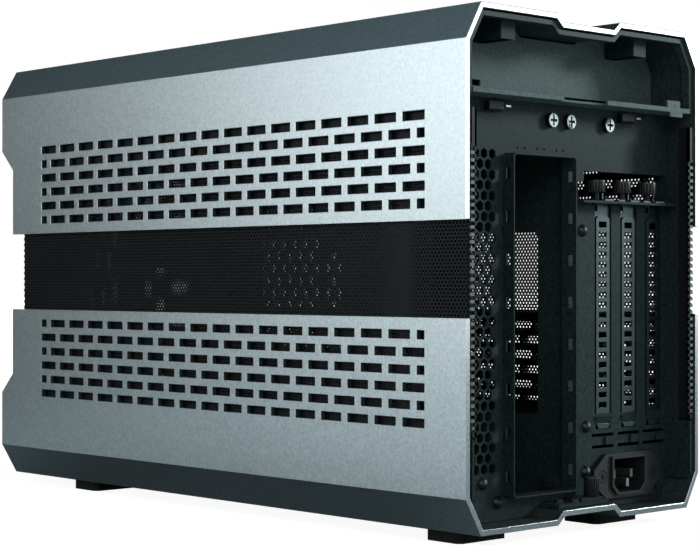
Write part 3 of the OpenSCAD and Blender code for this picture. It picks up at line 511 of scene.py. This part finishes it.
# %% Give every carried-over node its finish
finish_of_slot = {
    "cover_aluminium": blasted_aluminium, "chassis_black": powder_coat, "mesh_black": mesh_coat,
    "fascia_plastic": moulded_black, "foot_rubber": foot_rubber, "plain_steel": plated_steel,
    "screw_black": black_oxide, "circuit_board": circuit_green, "contact_metal": contact_metal,
    "inlet_plastic": moulded_black}
finish_of_node = {
    "upper_liner": liner_coat_painted_light, "slot_cover_1": dull_steel, "slot_cover_2": dull_steel,
    "slot_cover_3": dull_steel}
for part in frame["record"]["subparts"]:
    piece = nodes[part["node"]]
    finish = finish_of_node.get(part["node"], finish_of_slot[part["material_slot"]])
    if not piece.data.materials:
        piece.data.materials.append(finish)
    for index in range(len(piece.data.materials)):
        piece.data.materials[index] = finish
print("finished nodes:", len(nodes))

# %% [markdown]
# ## Fine perforated sheets
# The sides and the front are closed by steel sheet with holes of about 1.4 mm, one row
# shifted by half a step against the next. More than ten thousand holes make a side. Cutting
# them one by one with booleans would be very slow. One small tile with a hole, repeated by
# Geometry Nodes on a grid of points and welded, gives the same sheet in seconds.

# %% Geometry nodes: one tile with a hole


def maths_in(tree):
    """A helper that adds a Math node to the tree; a term is a number or a socket."""
    def maths(operation, a, b):
        node = tree.nodes.new("ShaderNodeMath")
        node.operation = operation
        for index, term in enumerate((a, b)):
            if isinstance(term, (int, float)):
                node.inputs[index].default_value = term
            else:
                tree.links.new(term, node.inputs[index])
        return node.outputs[0]
    return maths


def holed_tile(tree, given):
    """Six-sided, points up and down, as wide as a step, so it can be welded to the next."""
    n, link, maths = tree.nodes, tree.links, maths_in(tree)
    tile = n.new("GeometryNodeMeshCircle")
    tile.fill_type = "NGON"
    tile.inputs["Vertices"].default_value = 6
    tile.inputs["Radius"].default_value = 1.0
    turn = n.new("GeometryNodeTransform")
    turn.inputs["Rotation"].default_value = (0, 0, math.radians(30))
    link.new(tile.outputs["Mesh"], turn.inputs["Geometry"])
    size = n.new("ShaderNodeCombineXYZ")
    link.new(maths("DIVIDE", given["Column step"], math.sqrt(3)), size.inputs["X"])
    link.new(maths("MULTIPLY", given["Row step"], 2 / 3), size.inputs["Y"])
    size.inputs["Z"].default_value = 1.0
    fit = n.new("GeometryNodeTransform")
    link.new(turn.outputs["Geometry"], fit.inputs["Geometry"])
    link.new(size.outputs[0], fit.inputs["Scale"])
    inset = n.new("GeometryNodeExtrudeMesh")
    inset.mode = "FACES"
    inset.inputs["Offset Scale"].default_value = 0.0
    link.new(fit.outputs["Geometry"], inset.inputs["Mesh"])
    shrink = n.new("GeometryNodeScaleElements")
    link.new(inset.outputs["Mesh"], shrink.inputs["Geometry"])
    link.new(inset.outputs["Top"], shrink.inputs["Selection"])
    link.new(given["Open share"], shrink.inputs["Scale"])
    wall = n.new("GeometryNodeExtrudeMesh")
    wall.mode = "FACES"
    link.new(shrink.outputs["Geometry"], wall.inputs["Mesh"])
    link.new(inset.outputs["Top"], wall.inputs["Selection"])
    down = n.new("ShaderNodeCombineXYZ")
    link.new(maths("MULTIPLY", given["Thickness"], -1.0), down.inputs["Z"])
    link.new(down.outputs[0], wall.inputs["Offset"])
    wall.inputs["Offset Scale"].default_value = 1.0
    hole = n.new("GeometryNodeDeleteGeometry")
    hole.domain = "FACE"
    link.new(wall.outputs["Mesh"], hole.inputs["Geometry"])
    link.new(wall.outputs["Top"], hole.inputs["Selection"])
    return hole.outputs["Geometry"]


# %% Geometry nodes: points in rows, every second row shifted by half a step


def staggered_points(tree, given):
    """The middles of all tiles; the shift is a quarter step to each side."""
    n, link, maths = tree.nodes, tree.links, maths_in(tree)
    field = n.new("GeometryNodeMeshGrid")
    link.new(given["Columns"], field.inputs["Vertices X"])
    link.new(given["Rows"], field.inputs["Vertices Y"])
    link.new(maths("MULTIPLY", maths("SUBTRACT", given["Columns"], 1.0), given["Column step"]),
             field.inputs["Size X"])
    link.new(maths("MULTIPLY", maths("SUBTRACT", given["Rows"], 1.0), given["Row step"]),
             field.inputs["Size Y"])
    number = n.new("GeometryNodeInputIndex")
    row = maths("MODULO", number.outputs[0], given["Rows"])
    odd = maths("MODULO", row, 2.0)
    shift = n.new("ShaderNodeCombineXYZ")
    link.new(maths("MULTIPLY", maths("SUBTRACT", odd, 0.5),
                   maths("MULTIPLY", given["Column step"], 0.5)), shift.inputs["X"])
    moved = n.new("GeometryNodeSetPosition")
    link.new(field.outputs["Mesh"], moved.inputs["Geometry"])
    link.new(shift.outputs[0], moved.inputs["Offset"])
    return moved.outputs["Geometry"]


# %% Geometry nodes: the perforated field


def perforated_tree():
    """Tiles on staggered points, made real, welded and painted."""
    tree = bpy.data.node_groups.new("perforated_field", "GeometryNodeTree")
    for name, kind, start in (
            ("Columns", "NodeSocketInt", 10), ("Rows", "NodeSocketInt", 10),
            ("Column step", "NodeSocketFloat", 0.0022), ("Row step", "NodeSocketFloat", 0.00165),
            ("Open share", "NodeSocketFloat", 0.66), ("Thickness", "NodeSocketFloat", 0.001),
            ("Finish", "NodeSocketMaterial", None)):
        socket = tree.interface.new_socket(name=name, in_out="INPUT", socket_type=kind)
        if start is not None:
            socket.default_value = start
    tree.interface.new_socket(name="Geometry", in_out="OUTPUT", socket_type="NodeSocketGeometry")
    n, link = tree.nodes, tree.links
    given = n.new("NodeGroupInput").outputs
    done = n.new("NodeGroupOutput")
    spread = n.new("GeometryNodeInstanceOnPoints")
    link.new(staggered_points(tree, given), spread.inputs["Points"])
    link.new(holed_tile(tree, given), spread.inputs["Instance"])
    real = n.new("GeometryNodeRealizeInstances")
    link.new(spread.outputs["Instances"], real.inputs["Geometry"])
    weld = n.new("GeometryNodeMergeByDistance")
    weld.inputs["Distance"].default_value = 0.02 * MM
    link.new(real.outputs["Geometry"], weld.inputs["Geometry"])
    paint = n.new("GeometryNodeSetMaterial")
    link.new(weld.outputs["Geometry"], paint.inputs["Geometry"])
    link.new(given["Finish"], paint.inputs["Material"])
    link.new(paint.outputs["Geometry"], done.inputs["Geometry"])
    return tree


perforated_field = perforated_tree()
print("field tree has", len(perforated_field.nodes), "nodes")

# %% [markdown]
# The tree needs an object to run on. A modifier on an empty mesh gives it its numbers, each
# by the identifier of its socket, and the evaluated result is kept as a plain mesh. That way
# the piece needs no modifier, and its place is in its own mesh.

# %% From a tree to a piece

def built_by_nodes(name, tree, values):
    """The plain mesh that a node tree makes from the named values."""
    start = bpy.data.meshes.new(name + "_start")
    holder = bpy.data.objects.new(name + "_start", start)
    scene.collection.objects.link(holder)
    maker = holder.modifiers.new("maker", "NODES")
    maker.node_group = tree
    sockets = {s.name: s.identifier for s in tree.interface.items_tree if s.in_out == "INPUT"}
    for key, value in values.items():
        maker[sockets[key]] = value
    bpy.context.view_layer.update()
    seen_by_render = holder.evaluated_get(bpy.context.evaluated_depsgraph_get())
    mesh = bpy.data.meshes.new_from_object(seen_by_render)
    mesh.name = name
    bpy.data.objects.remove(holder)
    return mesh


def add_box(mesh_builder, low, high):
    """A closed box between two corners."""
    made = bmesh.ops.create_cube(mesh_builder, size=1.0)
    low, high = Vector(low), Vector(high)
    place = Matrix.Translation((low + high) / 2) @ Matrix.Diagonal((*(high - low), 1))
    bmesh.ops.transform(mesh_builder, matrix=place, verts=made["verts"])


def piece_from(mesh, name, body):
    """A mesh as a piece of the object, riding on a body of the frame."""
    piece = bpy.data.objects.new(name, mesh)
    scene.collection.objects.link(piece)
    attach(piece, body)
    return piece


# %% [markdown]
# A side panel is the perforated field, a plain border above and below it, and two returns
# that are folded in at its ends. The holes run on round the rear fold, so the return shows
# small bars between them. Behind the last columns lies the plain hem of the fold, so no
# light comes through there. The field is made in two halves to keep each mesh light.

# %% Side mesh panels
STEP, ROW, OPEN = 2.2 * MM, 1.66 * MM, 0.64
SHEET, FOLD = 1.0 * MM, 0.9 * MM
LIP, HEM, BEAD = 1.3 * MM, 13 * MM, 1.5 * MM


def sheet_on_side(field, side, plane, centre_y, centre_z):
    """Turns a field that lies flat into the plane X = plane, facing outwards."""
    turn = Matrix(((0, 0, side, plane), (side, 0, 0, centre_y), (0, 1, 0, centre_z), (0, 0, 0, 1)))
    field.transform(turn)
    return field


def side_rim(side, low, high, span, mid_z, top_of_beads, base_of_beads):
    """Plain borders, returns and hem, then the bars of the rear fold, and the bars' faces."""
    outer = high.x if side > 0 else low.x
    inner = outer - side * SHEET
    back = outer - side * (high.x - low.x)
    rear = (high.y - FOLD, high.y)
    rim = bmesh.new()

    def bar(a, b, y_range, z0, z1):
        """A box between two planes across the case, in either order."""
        x0, x1 = sorted((a, b))
        add_box(rim, (x0, y_range[0], z0), (x1, y_range[1], z1))

    # The borders lie a hair inside the field's face, so no two faces share a plane
    face = outer - side * 0.02 * MM
    fold = outer - side * 0.3 * MM
    whole = (low.y, high.y)
    bar(face, inner, whole, mid_z + span - FOLD, high.z)
    bar(face, inner, whole, low.z, mid_z - span + FOLD)
    bar(fold, back, (low.y, low.y + FOLD), low.z, high.z)
    bar(fold, back, rear, top_of_beads, high.z)
    bar(fold, back, rear, low.z, base_of_beads)
    bar(back, back + side * LIP, rear, low.z, high.z)
    bar(inner - side * 0.1 * MM, inner - side * 0.5 * MM, (high.y - HEM, high.y - FOLD),
        low.z, high.z)
    count = int((top_of_beads - base_of_beads) / (2 * ROW))
    for number in range(count):
        z = base_of_beads + (number + 0.5) * 2 * ROW
        bar(fold, back, rear, z - BEAD / 2, z + BEAD / 2)
    mesh = bpy.data.meshes.new("rim")
    rim.to_mesh(mesh)
    rim.free()
    return mesh, 6 * count


def one_material(mesh, material):
    """Clears the slots and puts every face on one finish."""
    mesh.materials.clear()
    mesh.materials.append(material)
    mesh.polygons.foreach_set("material_index", [0] * len(mesh.polygons))


def join_rim(piece, field, rim, bar_faces):
    """Field and rim in one mesh, the bars of the rim on a grey coat that paints their highlight."""
    joined = bmesh.new()
    joined.from_mesh(field)
    joined.from_mesh(rim)
    joined.to_mesh(piece.data)
    joined.free()
    one_material(piece.data, mesh_coat)
    # The bars take the grey coat, a painted highlight
    piece.data.materials.append(bar_coat_painted_highlight)
    for face in list(piece.data.polygons)[-bar_faces:]:
        face.material_index = 1


def side_panel(node, side):
    """Both halves of a side; the first one carries the rim."""
    low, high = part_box(node)
    outer = high.x if side > 0 else low.x
    top_of_holes = high.z - 15 * MM
    base_of_holes = low.z + 3 * MM
    rows = int((top_of_holes - base_of_holes) / ROW)
    columns = int((high.y - low.y - 0.6 * MM) / STEP)
    mid_z = (base_of_holes + top_of_holes) / 2
    start_y = low.y + 0.4 * MM
    for number, count in ((1, columns // 2), (2, columns - columns // 2)):
        name = f"{node}_half_{number}"
        length = count * STEP
        field = built_by_nodes(name, perforated_field, {
            "Columns": count, "Rows": rows, "Column step": STEP, "Row step": ROW,
            "Open share": OPEN, "Thickness": SHEET, "Finish": mesh_coat})
        sheet_on_side(field, side, outer, start_y + length / 2, mid_z)
        start_y += length
        piece = piece_from(field, name, "chassis")
        if number == 1:
            rim, bar_faces = side_rim(side, low, high, rows * ROW / 2, mid_z,
                                      high.z - 17.5 * MM, low.z + 2.3 * MM)
            join_rim(piece, field, rim, bar_faces)
            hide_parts(node)
        print(name, "faces", len(piece.data.polygons))


side_panel("left_mesh", 1)
side_panel("right_mesh", -1)

# %% [markdown]
# The window in the front is closed by a flat sheet of the same perforation. The same tree
# makes it, turned to face forwards.

# %% Front mesh
low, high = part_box("front_mesh")
columns = int((high.x - low.x) / STEP) - 1
rows = int((high.z - low.z) / ROW) - 1
field = built_by_nodes("front_mesh_sheet", perforated_field, {
    "Columns": columns, "Rows": rows, "Column step": STEP, "Row step": ROW,
    "Open share": OPEN, "Thickness": 0.98 * MM, "Finish": mesh_coat})
middle = (low + high) / 2
field.transform(Matrix(((1, 0, 0, middle.x), (0, 0, -1, low.y), (0, 1, 0, middle.z), (0, 0, 0, 1))))
front_sheet = piece_from(field, "front_mesh_sheet", "chassis")
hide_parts("front_mesh")
print("front mesh faces", len(field.polygons))

# %% [markdown]
# ## Broken edges
# The folds and the vents are right in the solids, but every edge there is razor sharp. Real
# cut edges are broken by a few tenths and catch the light as thin bright lines. A copy of
# each piece is welded, its flat faces joined, and a small bevel put on. Then a rule looks at
# each face and chooses its finish: the cut ends of the covers are bare bright metal, their
# insides have a dark coat, and the flat faces of the rear screws are bright in a black rim.

# %% Bevel and finish by face


def welded_copy(node):
    """A copy of a node's mesh with doubles merged and flat faces joined."""
    builder = bmesh.new()
    builder.from_mesh(nodes[node].data)
    bmesh.ops.remove_doubles(builder, verts=builder.verts, dist=1e-6)
    bmesh.ops.dissolve_limit(builder, angle_limit=math.radians(1.0), verts=builder.verts,
                             edges=builder.edges, use_dissolve_boundaries=False)
    return builder


def inset_heads(builder, thickness):
    """A ring cut inside the faces at the rear end, so a finish can stop short of the edge."""
    end = max(v.co.y for v in builder.verts) - 0.05 * MM
    flat = [f for f in builder.faces if f.normal.y > 0.95 and f.calc_center_median().y > end]
    bmesh.ops.inset_region(builder, faces=flat, thickness=thickness)


def break_edges(piece, width, edge_material):
    """Bevels the sharp edges of a piece and keeps the result as its plain mesh."""
    bevel = piece.modifiers.new("broken_edges", "BEVEL")
    bevel.width = width
    bevel.segments = 2
    bevel.limit_method = "ANGLE"
    bevel.angle_limit = math.radians(25)
    bevel.material = edge_material
    bpy.context.view_layer.update()
    depsgraph = bpy.context.evaluated_depsgraph_get()
    done = bpy.data.meshes.new_from_object(piece.evaluated_get(depsgraph))
    piece.modifiers.clear()
    piece.data = done
    done.name = piece.name
    return done


def bevelled_piece(node, body, width_mm, finishes, choose=None, inset_mm=0.0):
    """The node with broken edges; finishes are main, edge and any more that choose() names."""
    name = node + "_skin"
    builder = welded_copy(node)
    if inset_mm:
        inset_heads(builder, inset_mm * MM)
    mesh = bpy.data.meshes.new(name)
    builder.to_mesh(mesh)
    builder.free()
    one_material(mesh, finishes[0])
    for finish in finishes[1:]:
        mesh.materials.append(finish)
    piece = bpy.data.objects.new(name, mesh)
    scene.collection.objects.link(piece)
    done = break_edges(piece, width_mm * MM, 1 if len(finishes) > 1 else 0)
    if choose:
        for face in done.polygons:
            wanted = choose(face)
            if wanted is not None:
                face.material_index = wanted
    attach(piece, body)
    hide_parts(node)
    print(name, "faces", len(done.polygons))


# %% [markdown]
# A cover is one sheet with a blasted outside, a coated inside and bare cut ends. One material
# can't be all three, so each face gets its finish by where it lies and which way it looks.
# Painting a mask would do it too, but it would have to be painted again for a new shape.

# %% Covers
FEET_HIGH = 6 * MM
MID_Z = (cad_bounds[0][2] + cad_bounds[1][2] + FEET_HIGH) / 2
BLASTED, CUT_EDGE, INSIDE_COAT = 0, 1, 2
SKIN = 2.4 * MM
VENTS_REACH = 165 * MM
VENTS_NEAR, VENTS_FAR = 24 * MM, 98 * MM
SLOPE_STARTS = 95 * MM


def cover_face(face):
    """Dark coat on the inside and in the vents, bare metal on the cut rim at the back."""
    c, n = face.center, face.normal
    above = 1 if c.z > MID_Z else -1
    outwards = n.x if c.x > 0 else -n.x
    from_middle = abs(c.z - MID_Z)
    if n.y > 0.9 and c.y > half_depth - 0.5 * MM:
        return CUT_EDGE
    if abs(c.x) > half_width - SKIN and abs(c.y) < VENTS_REACH:
        wall = abs(n.x) < 0.9 and VENTS_NEAR < from_middle < VENTS_FAR
        return INSIDE_COAT if wall else BLASTED
    if outwards < -0.3 or (from_middle > SLOPE_STARTS and n.z * above < -0.5):
        return INSIDE_COAT
    return None


for node in ("upper_cover", "lower_cover"):
    bevelled_piece(node, node, 0.35,
                   (blasted_aluminium, cut_aluminium, liner_coat_painted_light), cover_face)

# %% [markdown]
# The pieces at the back are seen close up. The frame, the tray and the slot covers are bent
# sheet, and one finish each is enough. The case screws are black, with the face of the head
# worn bright by the screwdriver, so their finish changes by the distance from the axis. An
# image of a screw head on a disc would be quicker, and would have no recess.

# %% Small pieces at the back
bevelled_piece("opening_frame", "chassis", 0.2, (powder_coat,))
bevelled_piece("rear_tray", "chassis", 0.2, (tray_coat_painted_light,))
for number in (1, 2, 3):
    bevelled_piece(f"slot_cover_{number}", "chassis", 0.18, (dull_steel,))

# %% Screws


def worn_head(node):
    """The rule for a rear screw: worn metal inside the black rim of its head."""
    low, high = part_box(node)
    axis = (low + high) / 2
    worn_reach = 2.2 * MM

    def screw_face(face):
        reach = math.hypot(face.center.x - axis.x, face.center.z - axis.z)
        flat = face.normal.y > 0.95 and face.center.y > high.y - 0.1 * MM
        return 1 if flat and reach < worn_reach else 0

    return screw_face


for number in (1, 2, 3):
    rear_screw, slot_screw = f"rear_screw_{number}", f"slot_screw_{number}"
    bevelled_piece(rear_screw, rear_screw, 0.12, (black_oxide, worn_face),
                   worn_head(rear_screw), inset_mm=0.45)
    bevelled_piece(slot_screw, slot_screw, 0.15, (black_oxide,))
bevelled_piece("latch_knob", "latch_knob", 0.15, (black_oxide,))
